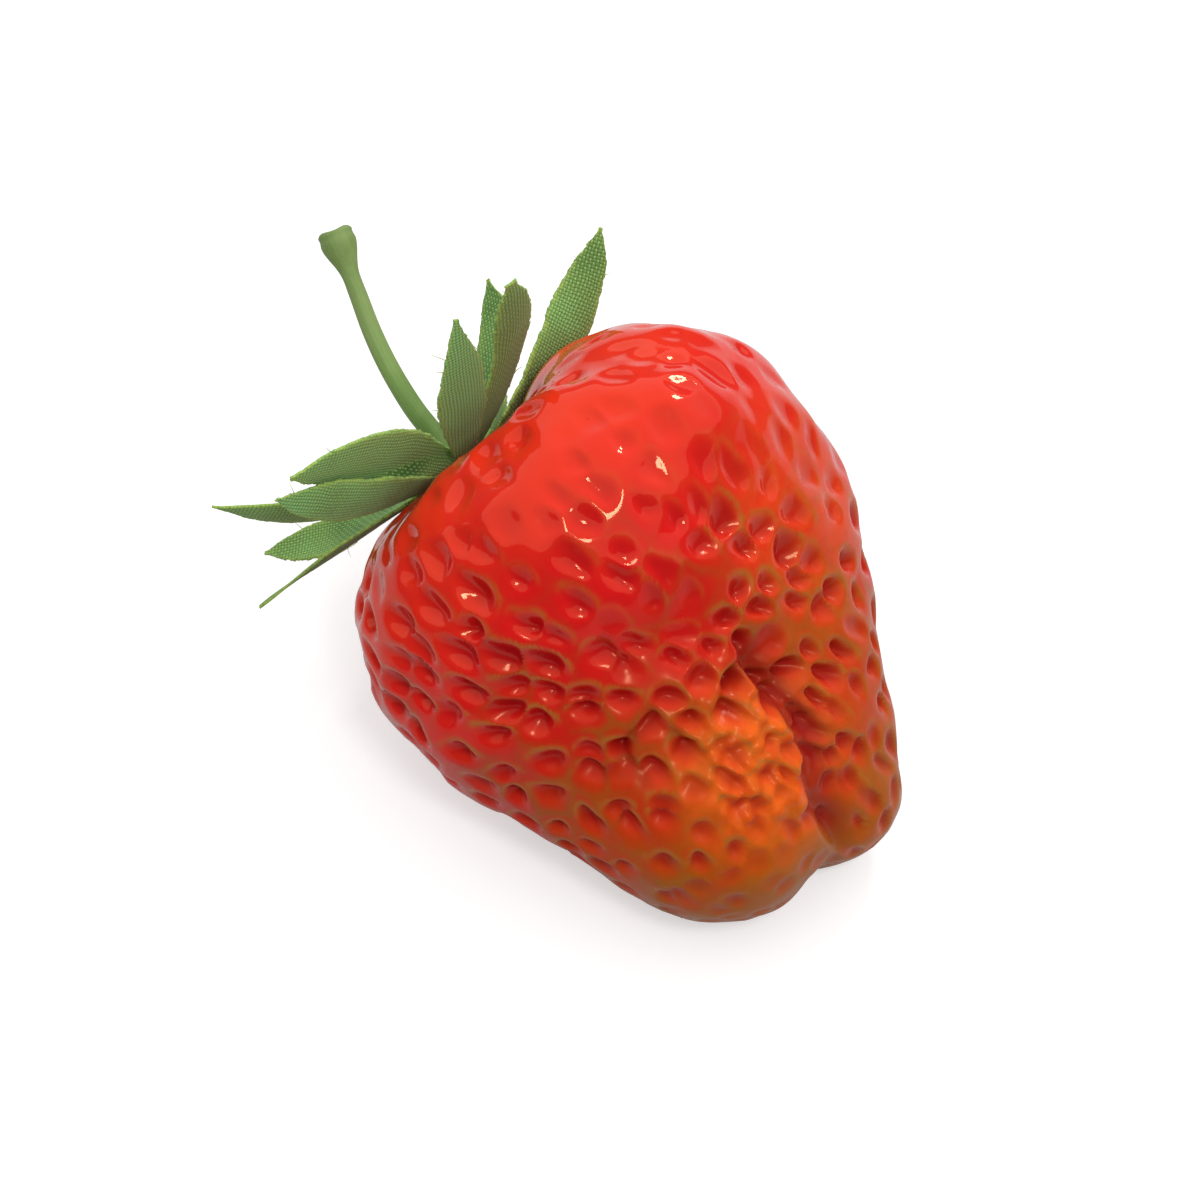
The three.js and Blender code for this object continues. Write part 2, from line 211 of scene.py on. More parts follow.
def turned(x, y, angle):
    """x and y after a turn by angle."""
    return x * math.cos(angle) - y * math.sin(angle), x * math.sin(angle) + y * math.cos(angle)


def full_turn(sides):
    """Angles evenly round a circle."""
    return np.arange(sides) * 2 * math.pi / sides


def to_row(points):
    """Upright millimetres to the row frame's metres."""
    q = np.asarray(points, float) - CORE
    x, y = turned(q[..., 0], q[..., 1], ROLL)
    z, x = turned(q[..., 2], x, TILT - math.pi / 2)
    return (np.stack([x, y, z], axis=-1) + CORE_ROW) * MM


def crown_to_upright(points):
    """From the crown's leaning frame to the upright one."""
    p = np.asarray(points, float)
    x, z = turned(p[..., 0], p[..., 2], RING["lean"])
    return np.stack([x, p[..., 1], z], axis=-1) + CROWN


# -------- meshes

def new_object(name, data):
    made = bpy.data.objects.new(name, data)
    bpy.context.collection.objects.link(made)
    return made


def mesh_object(name, points, faces, attributes, material):
    """An object from row-frame points, its faces smooth, with one value per point for each attribute."""
    mesh = bpy.data.meshes.new(name)
    mesh.from_pydata([tuple(p) for p in points], [], [tuple(f) for f in faces])
    mesh.polygons.foreach_set("use_smooth", np.ones(len(mesh.polygons), bool))
    for key, values in attributes.items():
        values = np.asarray(values, np.float32)
        kind, field = ("FLOAT", "value") if values.ndim == 1 else ("FLOAT_VECTOR", "vector")
        mesh.attributes.new(key, kind, "POINT").data.foreach_set(field, values.ravel())
    mesh.materials.append(material)
    mesh.validate()
    return new_object(name, mesh)


def join_parts(parts):
    """Points, faces and attributes of several (points, faces, attributes), as one."""
    points, faces, attributes, first = [], [], {}, 0
    for more, cells, values in parts:
        points.append(more)
        faces.extend(tuple(i + first for i in cell) for cell in cells)
        for key, value in values.items():
            attributes.setdefault(key, []).append(value)
        first += len(more)
    return np.concatenate(points), faces, {key: np.concatenate(v) for key, v in attributes.items()}


def band(first, second, sides):
    """The corners of each quad between two rings, whose points start at first and at second."""
    for j in range(sides):
        k = (j + 1) % sides
        yield first + j, first + k, second + k, second + j


# -------- berry

def blend(a, b, width):
    overlap = np.maximum(width - np.abs(a - b), 0) / width
    return np.minimum(a, b) - overlap**2 * width / 4


def ball_field(p, centre, radius):
    return span_of((p - centre) / SQUASH) - radius


def lobe_field(p, top, top_radius, tip, tip_radius):
    along = np.subtract(tip, top) / SQUASH
    start = (p - top) / SQUASH
    t = np.clip(start @ along / (along @ along), 0, 1)
    return span_of(start - t[:, None] * along) - lerp(top_radius, tip_radius, t)


def ring_field(p):
    x, z = turned(p[:, 0] - RING["x"], p[:, 2] - RING["z"], -RING["lean"])
    outward = np.hypot(x, p[:, 1] / SQUASH[1]) - RING["radius"]
    return np.hypot(outward, z) - RING["tube"]


def berry_field(p):
    width = CLEFT["sharp"] + CLEFT["added"] * rise(p[:, 2], CLEFT)
    lobes = blend(lobe_field(p, **MAIN_LOBE), lobe_field(p, **SECOND_LOBE), width)
    filled = blend(lobes, lobe_field(p, **HEART), HEART_BLEND)
    return blend(blend(ring_field(p), filled, SHOULDER_BLEND), ball_field(p, **BULGE), BULGE_BLEND)


def surface_distance(directions):
    """How far the smooth berry reaches from its core in each direction."""
    inside = np.full(len(directions), SEARCH["from"])
    crossed = np.zeros(len(directions), bool)
    for step in np.arange(SEARCH["from"] + SEARCH["step"], SEARCH["to"], SEARCH["step"]):
        crossed |= berry_field(CORE + directions * step) > 0
        inside[~crossed] = step
    outside = inside + SEARCH["step"]
    for _ in range(SEARCH["halvings"]):
        middle = (inside + outside) / 2
        out = berry_field(CORE + directions * middle[:, None]) > 0
        outside = np.where(out, middle, outside)
        inside = np.where(out, inside, middle)
    return inside


def cube_sphere(cuts):
    """Directions spread evenly over a sphere, and the quads between them."""
    t = np.tan(np.linspace(-math.pi / 4, math.pi / 4, cuts + 1))
    u, v = np.meshgrid(t, t, indexing="ij")
    one = np.ones_like(u)
    sides = [(one, u, v), (-one, v, u), (v, one, u), (u, -one, v), (u, v, one), (v, u, -one)]
    corner = np.arange((cuts + 1) ** 2).reshape(cuts + 1, cuts + 1)
    quads = np.stack([corner[:-1, :-1], corner[1:, :-1], corner[1:, 1:], corner[:-1, 1:]], axis=-1)
    points = unit(np.concatenate([np.stack(side, axis=-1).reshape(-1, 3) for side in sides]))
    cells = np.concatenate([quads.reshape(-1, 4) + i * corner.size for i in range(len(sides))])
    _, first, same = np.unique(np.round(points, 6), axis=0, return_index=True, return_inverse=True)
    return points[first], same.reshape(-1)[cells]


def dimple_area(height):
    """The area of skin that one dimple takes at a height."""
    return lerp(DIMPLE_AREA["tip"], DIMPLE_AREA["shoulder"], rise(height, DIMPLE_AREA))


def rays_at(polar, turn):
    """Directions at an angle from straight down, turned about the upright axis."""
    return np.stack([np.sin(polar) * np.cos(turn), np.sin(polar) * np.sin(turn), -np.cos(polar)], axis=-1)


def dimple_seeds():
    """The middles of the dimples: a golden-angle spiral from the tip, one to each share of the skin."""
    polar = np.linspace(SPIRAL["start"], math.pi - SPIRAL["stop"], SPIRAL["rings"])
    p, a = np.meshgrid(polar, full_turn(SPIRAL["rays"]), indexing="ij")
    reach = surface_distance(rays_at(p, a).reshape(-1, 3)).reshape(p.shape).mean(axis=1)
    area = dimple_area(CORE[2] - reach * np.cos(polar))
    rate = 2 * math.pi * reach * np.sin(polar) * np.hypot(reach, np.gradient(reach, polar)) / area
    total = np.concatenate([[0], np.cumsum((rate[1:] + rate[:-1]) / 2 * np.diff(polar))])
    i = np.arange(int(total[-1]))
    seeds = rays_at(np.interp(i + 0.5, total, polar), i * GOLDEN_ANGLE)
    return unit(seeds + draws("places").standard_normal(seeds.shape) * DIMPLE_SCATTER)


def two_nearest(directions, seeds):
    """Which two seeds lie nearest to each direction, the nearer one first."""
    nearest = np.empty((len(directions), 2), int)
    for start in range(0, len(directions), BLOCK):
        block = directions[start:start + BLOCK]
        near = np.argpartition(-(block @ seeds.T), 2, axis=1)[:, :2]
        order = np.argsort(-np.einsum("ij,ikj->ik", block, seeds[near]), axis=1)
        nearest[start:start + BLOCK] = np.take_along_axis(near, order, axis=1)
    return nearest


def fade_in(p, centre, reach):
    """1 near a place on the berry, a half at reach from it, 0 from 1.5 times reach."""
    return ease(1.5 - span_of(p - centre) / reach)


def faded(p):
    """How much of a dimple's depth is left at each place."""
    shoulder = rise(p[:, 2] + FAINT_SHOULDER["lean"] * p[:, 0], FAINT_SHOULDER)
    bare = fade_in(p, BARE_PATCH["centre"], BARE_PATCH["reach"])
    return lerp(1, FAINT_SHOULDER["left"], shoulder) * lerp(1, BARE_PATCH["left"], bare)


def cleft_fold(p):
    """The fold in the front of the cleft: steep towards the main lobe, gentle towards the second."""
    climb = p[:, 2] / CLEFT_FOLD["top"]
    sway = CLEFT_FOLD["sway"] * np.sin(CLEFT_FOLD["half_waves"] * math.pi * climb)
    off = p[:, 0] - (lerp(CLEFT_FOLD["foot"], CLEFT_FOLD["head"], climb) - sway)
    width = np.where(off < 0, CLEFT_FOLD["steep"], CLEFT_FOLD["gentle"])
    ends = ease(climb * CLEFT_FOLD["ends"]) * ease((1 - climb) * CLEFT_FOLD["ends"])
    return np.where(p[:, 1] < 0, CLEFT_FOLD["depth"] * ends * np.exp(-((off / width) ** 2)), 0)


def wrinkles(p):
    """Short creases scattered over the front, on both sides of the cleft."""
    rng = draws("wrinkles")
    total = np.zeros(len(p))
    for _ in range(WRINKLES["count"]):
        middle = np.array([rng.uniform(*WRINKLES["across"]), rng.uniform(*WRINKLES["up"])])
        angle = rng.uniform(0, math.pi)
        u, v = turned(p[:, 0] - middle[0], p[:, 2] - middle[1], -angle)
        beyond = np.maximum(np.abs(u) - rng.uniform(*WRINKLES["length"]) / 2, 0)
        line = np.exp(-((np.hypot(beyond, v) / WRINKLES["width"]) ** 2))
        total += rng.uniform(*WRINKLES["depth"]) * line
    return np.where(p[:, 1] < 0, total, 0)


def random_wave(p, rng, lengths):
    """A sine wave over p, of a random direction, length and phase, and its pace."""
    way = rng.standard_normal(3)
    pace = 2 * math.pi / rng.uniform(lengths["shortest"], lengths["longest"])
    return np.sin(p @ way * pace / np.linalg.norm(way) + rng.uniform(0, 2 * math.pi)), pace


def lumps(p):
    """Slow unevenness of the moulding: every wave, long or short, curves the skin as much."""
    rng = draws("lumps")
    total = np.zeros(len(p))
    for _ in range(LUMPS["waves"]):
        wave, pace = random_wave(p, rng, LUMPS)
        total += wave / pace**2
    return total * LUMPS["curve"]


def quilt(p):
    """The small square puckers on the front of the main lobe."""
    pace = 2 * math.pi / QUILT["pitch"]
    u, v = turned(p[:, 0], p[:, 2], math.radians(QUILT["turn"]))
    columns = np.cos(pace * u + QUILT["bend"][0] * np.sin(v))
    squares = columns * np.cos(pace * v + QUILT["bend"][1] * np.sin(u))
    return QUILT["height"] * squares * fade_in(p, QUILT["centre"], QUILT["reach"]) * (p[:, 1] < 0)


def warped(p):
    """p pushed about a little, so that the dimples lose their round outlines."""
    rng = draws("warp")
    push = np.zeros_like(p)
    for _ in range(WARP["waves"]):
        wave, _ = random_wave(p, rng, WARP)
        push += wave[:, None] * rng.standard_normal(3)
    return p + push * WARP["reach"] / math.sqrt(WARP["waves"])


def dents(p):
    """Shallow round dents with low rims, on a golden-angle spiral out from the crown."""
    rng = draws("dents")
    i = np.arange(DENTS["count"])
    polar = np.radians(lerp(*DENTS["polar"], (i + 0.5) / DENTS["count"]))
    rays = rays_at(polar, i * GOLDEN_ANGLE) * (1, 1, -1)
    total = np.zeros(len(p))
    for centre in CORE + rays * surface_distance(rays)[:, None]:
        gap = span_of(p - centre) / rng.uniform(*DENTS["radius"])
        bowl = np.clip(1 - gap**2, 0, 1) ** 2 - DENT_RIM["height"] * hump(gap, DENT_RIM)
        total += rng.uniform(*DENTS["depth"]) * bowl
    return total


def up_and_round(look, middle, distance):
    """How far each place lies from its dimple's middle: up the berry, and round it."""
    up = np.array([0, 0, 1.0]) - middle * middle[:, 2:3]
    across = np.stack([-middle[:, 1], middle[:, 0], np.zeros(len(middle))], axis=1)
    ways = [way / np.maximum(span_of(way), TINY)[:, None] for way in (up, across)]
    return [np.einsum("ij,ij->i", look - middle, way) * distance for way in ways]


def pit_shape(smooth, up, sideways, pit_radius):
    """Each place's share of the way out of its pit, and which side of the pit it is on."""
    height = rise(smooth[:, 2], STEEP_SIDE)
    facing = np.radians(lerp(STEEP_SIDE["low_down"], STEEP_SIDE["high_up"], height))
    steep_way = up * np.sin(facing) + sideways * np.cos(facing)
    level_way = sideways * np.sin(facing) - up * np.cos(facing)
    gap = np.hypot(steep_way / PIT["steep_way"], level_way / PIT["level_way"]) / pit_radius
    return gap, np.clip(steep_way / pit_radius, -1, 1)


def strengths(smooth, dimple, count):
    """Each place's share of its dimple's size and depth: random, then faded by where it is."""
    rng = draws("sizes")
    size = 1 + SPREAD["size"] * rng.standard_normal(count)
    strength = 1 + SPREAD["strength"] * rng.standard_normal(count)
    strength = np.clip(strength, SPREAD["weakest"], SPREAD["strongest"])
    worn = (1 - rise(smooth[:, 2], WORN_TIP)) * (1 - rise(smooth[:, 0], WORN_SIDE))
    return size[dimple], strength[dimple] * faded(smooth) * (1 - WORN_TIP["lost"] * worn)


def dimples(smooth, distance):
    """The bowls, pits and rims over the skin, each from 0 to about 1, with what places them."""
    seeds = dimple_seeds()
    look = unit(warped(smooth) - CORE)
    nearest = two_nearest(look, seeds)
    first = seeds[nearest[:, 0]]
    to_first = span_of(look - first) * distance
    to_second = span_of(look - seeds[nearest[:, 1]]) * distance
    size, strength = strengths(smooth, nearest[:, 0], len(seeds))
    pitch = np.sqrt(dimple_area(smooth[:, 2]))
    up, sideways = up_and_round(look, first, distance)
    gap, lean = pit_shape(smooth, up, sideways, PIT["reach"] * pitch * size)
    pit = np.clip(1 - gap**2, 0, 1) ** (PIT["power"] - PIT["lean_power"] * lean)
    return {
        "strength": strength,
        "bowl": np.clip(1 - (to_first / (BOWL["reach"] * pitch)) ** 2, 0, 1) ** 2,
        "pit": pit * (1 + PIT["lean_depth"] * lean),
        "rim": hump(gap, RIM) * ease(lean + RIM["lean"]),
        "ridge": rise(to_first / np.maximum(to_second, TINY), RIDGE),
        # Where the pit walls get painted shadow on the steep side and painted light on the other.
        "wall": hump(gap, WALL_BAND) * lean,
    }


def clear_of_crown(p):
    """0 under the stars' middle, 1 beyond it."""
    gap = np.hypot(p[:, 0] - CROWN[0], p[:, 1] - CROWN[1])
    return np.where(p[:, 2] > CORE[2], rise(gap, CLEAR_OF_CROWN), 1)


def floor_reach(directions):
    """How far the skin may reach from the core before it meets the floor."""
    drop = (to_row(CORE + directions)[:, 2] - to_row(CORE)[2]) / MM
    return np.where(drop < 0, -CORE_ROW[2] / np.minimum(drop, -TINY), np.inf)


def skin_marks(smooth, skin, clear, folds):
    """The attributes that the lacquer's colours follow, among them where painted shade, light and
    reflection go.
    """
    orange = [each["share"] * fade_in(smooth, each["centre"], each["reach"]) for each in ORANGE_LIGHT_PATCHES]
    below = SECOND_TOP["height"] - smooth[:, 2]
    second = rise(smooth[:, 0] + SECOND_SIDE["lean"] * below, SECOND_SIDE)
    share = np.clip(skin["strength"], 0, 1)
    return {
        "tipward": np.clip((SKIN_HEIGHT - smooth[:, 2]) / SKIN_HEIGHT, 0, 1),
        "pit": clear * np.clip(skin["pit"] * skin["strength"], 0, 1),
        "rim": clear * skin["rim"] * share,
        "ridge": skin["ridge"],
        # Where the folds get painted shade.
        "fold": np.clip(folds / DEEPEST_FOLD, 0, 1),
        "wall": clear * share * skin["wall"],
        "orange": np.maximum(*orange),
        "second": second * ease(below / SECOND_TOP["fade"]),
    }


def berry_mesh():
    directions, quads = cube_sphere(BERRY_CUTS)
    distance = surface_distance(directions)
    smooth = CORE + directions * distance[:, None]
    skin = dimples(smooth, distance)
    deep = PIT_DEPTH["tip"] + PIT_DEPTH["added"] * rise(smooth[:, 2], PIT_DEPTH)
    hollow = BOWL["depth"] * skin["bowl"] + deep * skin["pit"] - RIM["height"] * skin["rim"]
    uneven = lumps(smooth) + quilt(smooth) - dents(smooth)
    folds = cleft_fold(smooth) + wrinkles(smooth)
    clear = clear_of_crown(smooth)
    raised = clear * (uneven - skin["strength"] * hollow) - folds
    shaped = CORE + directions * np.minimum(distance + raised, floor_reach(directions))[:, None]
    return to_row(bored(shaped)), quads, skin_marks(smooth, skin, clear, folds)


def bored(points):
    """points with the stem's hole sunk into the crown."""
    x, z = turned(points[:, 0] - CROWN[0], points[:, 2] - CROWN[2], -RING["lean"])
    gap = np.hypot(x, points[:, 1] - CROWN[1])
    wall = ease((gap - PEG_HOLE["radius"] + PEG_HOLE["inset"]) / PEG_HOLE["edge"])
    sink = np.where(z > PEG_HOLE["below"], PEG_HOLE["depth"] * (1 - wall), 0)
    axis = np.array([-math.sin(RING["lean"]), 0, math.cos(RING["lean"])])
    return points - sink[:, None] * axis


# -------- calyx

def unit_rotation(vector, axis, angle):
    """vector turned about axis by angle."""
    return (
        vector * math.cos(angle)
        + np.cross(axis, vector) * math.sin(angle)
        + axis * (axis @ vector) * (1 - math.cos(angle))
    )


def leaf_heading(leaf, u):
    turn = math.radians(leaf["bearing"] + leaf["sweep"] * u)
    climb = math.radians(lerp(*leaf["rise"], u))
    level = math.cos(climb)
    forward = np.array([math.cos(turn) * level, math.sin(turn) * level, math.sin(climb)])
    side = np.array([-math.sin(turn), math.cos(turn), 0])
    side = unit_rotation(side, forward, math.radians(lerp(*leaf["twist"], u)))
    return forward, side, np.cross(forward, side)


def leaf_half_width(u, leaf):
    swell = ease(u / leaf["widest"])
    taper = 1 - np.clip((u - leaf["widest"]) / (1 - leaf["widest"]), 0, 1) ** leaf["taper"]
    share = (leaf["root"] + (1 - leaf["root"]) * swell) * taper
    return np.maximum(leaf["width"] * share, leaf["tip"]) / 2


def creased(out, half, u, leaf):
    """Where each point across a leaf lies along the leaf's side and along its normal.

    A fold's crease starts at one edge by the root and reaches the other edge part of the way along."""
    if "fold" not in leaf:
        return out, np.zeros_like(out)
    line = half * lerp(CREASE["from"], CREASE["to"], min(u / leaf["fold"]["until"], 1))
    bend = math.radians(leaf["fold"]["angle"])
    past = np.minimum(out - line, 0)
    return np.maximum(out, line) + past * math.cos(bend), past * math.sin(bend)


def leaf_frames(leaf, lift):
    """Each step along a leaf: its share of the length, middle, forward, side and normal."""
    bearing = math.radians(leaf["bearing"])
    at = np.array([math.cos(bearing) * HUB["root"], math.sin(bearing) * HUB["root"], lift])
    frames = []
    for i in range(LEAF_STEPS + 1):
        frames.append((i / LEAF_STEPS, at, *leaf_heading(leaf, i / LEAF_STEPS)))
        at = at + leaf_heading(leaf, (i + 0.5) / LEAF_STEPS)[0] * leaf["length"] / LEAF_STEPS
    return frames


def frayed_edges(rng):
    """How far each cut edge strays from its line, one row for each step along the leaf."""
    stray = np.cumsum(rng.standard_normal((LEAF_STEPS + 1, 2)) * FRAY["drift"], axis=0)
    stray -= np.linspace(0, 1, LEAF_STEPS + 1)[:, None] * stray[-1]
    return stray + rng.standard_normal((LEAF_STEPS + 1, 2)) * FRAY["nick"]


def leaf_faces():
    """The faces of a leaf: its two sides, then the band round its edge."""
    grid = np.arange((LEAF_STEPS + 1) * LEAF_ACROSS).reshape(LEAF_STEPS + 1, LEAF_ACROSS)
    upper = grid + grid.size
    faces = []
    for i in range(LEAF_STEPS):
        for j in range(LEAF_ACROSS - 1):
            faces.append((grid[i, j], grid[i, j + 1], grid[i + 1, j + 1], grid[i + 1, j]))
            faces.append((upper[i, j], upper[i + 1, j], upper[i + 1, j + 1], upper[i, j + 1]))
    rim = [*grid[:-1, 0], *grid[-1, :-1], *grid[:0:-1, -1], *grid[0, :0:-1]]
    for a, b in zip(rim, rim[1:] + rim[:1]):
        faces.append((a, b, b + grid.size, a + grid.size))
    return faces


def leaf_cup(share, half, u, leaf):
    """How far the points across a leaf rise from its middle plane."""
    dish = leaf["cup"] * (share**2 - LEAF_CUP["level"]) * half / leaf["width"] * 2
    return dish + LEAF_CUP["wave"] * math.sin(LEAF_CUP["pace"] * u + leaf["bearing"]) * share


def leaf_part(leaf, lift, rng):
    """One leaf: points in the crown's frame, faces and attributes."""
    share = np.linspace(-1, 1, LEAF_ACROSS)
    under, over, cloth, edge, tipward, tint = [], [], [], [], [], []
    for (u, at, _, side, normal), stray in zip(leaf_frames(leaf, lift), frayed_edges(rng)):
        half = leaf_half_width(u, leaf)
        trim = np.where(share < 0, stray[0], stray[1]) * min(1, half)
        out = share * np.maximum(half + trim, LEAST_HALF)
        along_side, along_normal = creased(out, half, u, leaf)
        raised = leaf_cup(share, half, u, leaf) + along_normal
        middle = at + along_side[:, None] * side + raised[:, None] * normal
        under.append(middle - normal * CLOTH / 2)
        over.append(middle + normal * CLOTH / 2)
        cloth.append(np.stack([out, np.full_like(out, u * leaf["length"]), np.zeros_like(out)], axis=1))
        edge.append(np.maximum(np.abs(share) ** EDGE_POWERS["sides"], u ** EDGE_POWERS["tip"]))
        tipward.append(np.full_like(out, u))
        # The folded part of a leaf is darker: painted shade, as it is turned from the light.
        tint.append(leaf["tint"] - CREASE["shade"] * (np.abs(along_normal) > CREASE["least"]))
    marks = {"cloth": cloth, "edge": edge, "tipward": tipward, "tint": tint}
    attributes = {key: np.concatenate(rows * 2) for key, rows in marks.items()}
    return np.concatenate(under + over), leaf_faces(), attributes


def thread_line(leaf, lift, rng):
    """The middles of a loose thread's rings, its heading, and the leaf's normal where it starts."""
    frames = leaf_frames(leaf, lift)
    u, at, forward, side, normal = frames[int(rng.uniform(*THREAD["from"]) * LEAF_STEPS)]
    way = side * rng.choice((-1, 1))
    start = at + way * (leaf_half_width(u, leaf) - THREAD["inset"])
    heading = way + forward * rng.uniform(*THREAD["forward"]) + normal * rng.uniform(*THREAD["lift"])
    heading /= np.linalg.norm(heading)
    bend = normal * rng.uniform(*THREAD["curl"]) + forward * rng.uniform(*THREAD["swing"])
    reach = rng.uniform(*THREAD["length"])
    steps = np.linspace(0, 1, THREAD["steps"])
    return [(t, start + heading * reach * t + bend * reach * t * t) for t in steps], heading, normal


def thread_part(leaf, lift, rng):
    """A loose thread that leaves the cut edge of a leaf."""
    line, heading, normal = thread_line(leaf, lift, rng)
    across = np.cross(heading, normal)
    upright = np.cross(heading, across)
    sides = THREAD["sides"]
    turn = full_turn(sides)
    circle = np.cos(turn)[:, None] * across + np.sin(turn)[:, None] * upright
    radius = THREAD["radius"]
    points = np.concatenate([middle + radius * (1 - THREAD["thinning"] * t) * circle for t, middle in line])
    last = len(points) - sides
    faces = [tuple(range(sides)), tuple(range(len(points) - 1, last - 1, -1))]
    for first in range(0, last, sides):
        faces.extend((a, d, c, b) for a, b, c, d in band(first, first + sides, sides))
    ones = np.ones(len(points))
    attributes = {"cloth": points * THREAD["weave"], "edge": ones, "tipward": ones, "tint": ones * 0}
    return points, faces, attributes


def hub_part(lift):
    """The star's middle, with its hole."""
    turn = full_turn(HUB_SIDES)
    low, high = lift - CLOTH / 2, lift + CLOTH / 2
    section = [(HUB["inner"], low), (HUB["outer"], low), (HUB["outer"], high), (HUB["inner"], high)]
    points = np.concatenate([
        np.stack([r * np.cos(turn), r * np.sin(turn), np.full(HUB_SIDES, z)], axis=1) for r, z in section
    ])
    faces = []
    for k in range(len(section)):
        first, second = k * HUB_SIDES, (k + 1) % len(section) * HUB_SIDES
        faces.extend((b, c, d, a) for a, b, c, d in band(first, second, HUB_SIDES))
    zeros = np.zeros(len(points))
    cloth = np.stack([points[:, 0], points[:, 1], zeros], axis=1)
    return points, faces, {"cloth": cloth, "edge": zeros, "tipward": zeros, "tint": zeros}


def star_mesh(leaves, lift, name):
    rng = draws(name)
    parts = [hub_part(lift)]
    for leaf in leaves:
        parts.append(leaf_part(leaf, lift, rng))
        parts.extend(thread_part(leaf, lift, rng) for _ in range(THREAD["each"]))
    points, faces, attributes = join_parts(parts)
    return to_row(crown_to_upright(points)), faces, attributes


# -------- stem

def catmull_rom(points, samples):
    """A smooth path through points, as evenly spaced samples."""
    p = np.asarray(points, float)
    p = np.concatenate([[2 * p[0] - p[1]], p, [2 * p[-1] - p[-2]]])
    path = []
    for i in range(1, len(p) - 2):
        t = np.linspace(0, 1, SAMPLES_EACH_SPAN, endpoint=i == len(p) - 3)[:, None]
        a, b, c, d = p[i - 1:i + 3]
        square, cube = 2 * a - 5 * b + 4 * c - d, 3 * b - a - 3 * c + d
        path.append(0.5 * (2 * b + (c - a) * t + square * t**2 + cube * t**3))
    path = np.concatenate(path)
    length = np.concatenate([[0], np.cumsum(span_of(np.diff(path, axis=0)))])
    wanted = np.linspace(0, length[-1], samples)
    return np.stack([np.interp(wanted, length, path[:, k]) for k in range(path.shape[1])], axis=1)


def stem_radius(height, top):
    head_from = top - STEM_HEAD["length"]
    collar = lerp(STEM["collar"], STEM["base"], rise(height, STEM))
    slim = lerp(collar, STEM["neck"], np.clip(height / head_from, 0, 1) ** 2)
    flare = ease((height - head_from) / STEM_HEAD["flare"]) ** STEM_HEAD["power"]
    rounded = 1 - STEM_END["draw_in"] * ease((height - top + STEM_END["over"]) / STEM_END["over"])
    shaft = lerp(slim, STEM_HEAD["radius"], flare) * rounded
    return np.where(height < STEM["low"], STEM["peg"], shaft)


def stem_ring(at, along, radius, ahead=0):
    """One ring of the stem: radius across its path, and ahead along it."""
    (x, z), (dx, dz) = at, along
    turn = full_turn(STEM_SIDES)
    across = radius * np.cos(turn)
    return np.stack([
        x + dz * across + dx * ahead, radius * np.sin(turn), z - dx * across + dz * ahead,
    ], axis=1)


def stem_rings(path, top):
    """The rings of the shaft, then those of the dome that closes the head."""
    along = unit(np.gradient(path, axis=0))
    two_lobes = np.cos(2 * full_turn(STEM_SIDES))
    rings = []
    for at, way, radius in zip(path, along, stem_radius(path[:, 1], top)):
        head = ease((at[1] - top + STEM_HEAD["length"]) / STEM_HEAD["length"])
        rings.append(stem_ring(at, way, radius * (1 + STEM_HEAD["lumpy"] * head * two_lobes)))
    for angle in STEM_END_ANGLES:
        radius = STEM_HEAD["radius"] * math.cos(angle) * (1 + STEM_HEAD["lumpy"] * two_lobes)
        dip = STEM_END["saddle"] * math.sin(angle) * two_lobes * math.cos(angle)
        ahead = STEM_END["dome"] * math.sin(angle) - STEM_END["flat"] * math.sin(angle) ** 4 + dip
        rings.append(stem_ring(path[-1], along[-1], radius, ahead))
    return rings


def stem_grain(heights):
    """Coordinates that streaks follow: round each ring, and its height in grain pitches."""
    turn = full_turn(STEM_SIDES)
    rings = [np.stack([np.cos(turn), np.sin(turn), np.full(STEM_SIDES, z)], axis=1) for z in heights]
    return np.concatenate([*rings, [[0, 0, 0]], [[0, 0, heights[-1]]]])


def stem_faces(rings, foot, tip):
    """The bands between rings, and the fans that close them round the points foot and tip."""
    faces = []
    for first in range(0, (rings - 1) * STEM_SIDES, STEM_SIDES):
        faces.extend(band(first, first + STEM_SIDES, STEM_SIDES))
    last = (rings - 1) * STEM_SIDES
    for j in range(STEM_SIDES):
        k = (j + 1) % STEM_SIDES
        faces.append((k, j, foot))
        faces.append((last + j, last + k, tip))
    return faces


def stem_mesh():
    path = catmull_rom(STEM_PATH, STEM_STEPS)
    top = STEM_PATH[-1][1]
    rings = stem_rings(path, top)
    points = np.concatenate([*rings, [rings[0].mean(axis=0)], [rings[-1].mean(axis=0)]])
    faces = stem_faces(len(rings), len(points) - 2, len(points) - 1)
    heights = np.concatenate([path[:, 1], np.full(len(STEM_END_ANGLES), path[-1, 1])]) / GRAIN_PITCH
    attributes = {"grain": stem_grain(heights), "height": np.clip(points[:, 2] / top, 0, 1)}
    return to_row(crown_to_upright(points)), faces, attributes


# -------- materials

# Colours are display values from 0 to 255.
RED_PAINT = [
    (0.0, (222, 44, 22)), (0.2, (220, 34, 24)), (0.35, (216, 18, 24)),
    (0.55, (196, 30, 18)), (0.8, (182, 62, 16)), (0.93, (160, 82, 14)),
]
RIDGE_BROWN = [(0.15, (206, 44, 22)), (0.35, (166, 60, 24)), (0.65, (150, 80, 24)), (1.0, (146, 92, 20))]
# Painted shade deep in the pits.
PIT_SHADE = [(0.0, (212, 26, 22)), (0.4, (168, 10, 20)), (1.0, (164, 20, 20))]
# Of these, wall_shadow and fold are painted shade, wall_light is painted light, rim is a painted reflection
# and orange is painted light.
LACQUER = {
    "orange": (232, 98, 24), "second_lobe": (204, 78, 30), "wall_shadow": (118, 8, 14),
    "wall_light": (236, 50, 26), "rim": (164, 98, 36), "fold": (140, 16, 20), "speck": (96, 14, 14),
}
# How much painted shade goes in the pits, on the shadowed walls and in the folds, and how much painted
# light on the lit walls.
SHADING_SHARES = {"pit": 0.8, "wall_shadow": 0.6, "wall_light": 0.55, "fold": 0.8}
LACQUER_SHINE = (1.0, 0.6, 0.34, 1.0)
WOBBLE = {"distance": 0.00006, "strength": 0.8, "fine": 0.25}
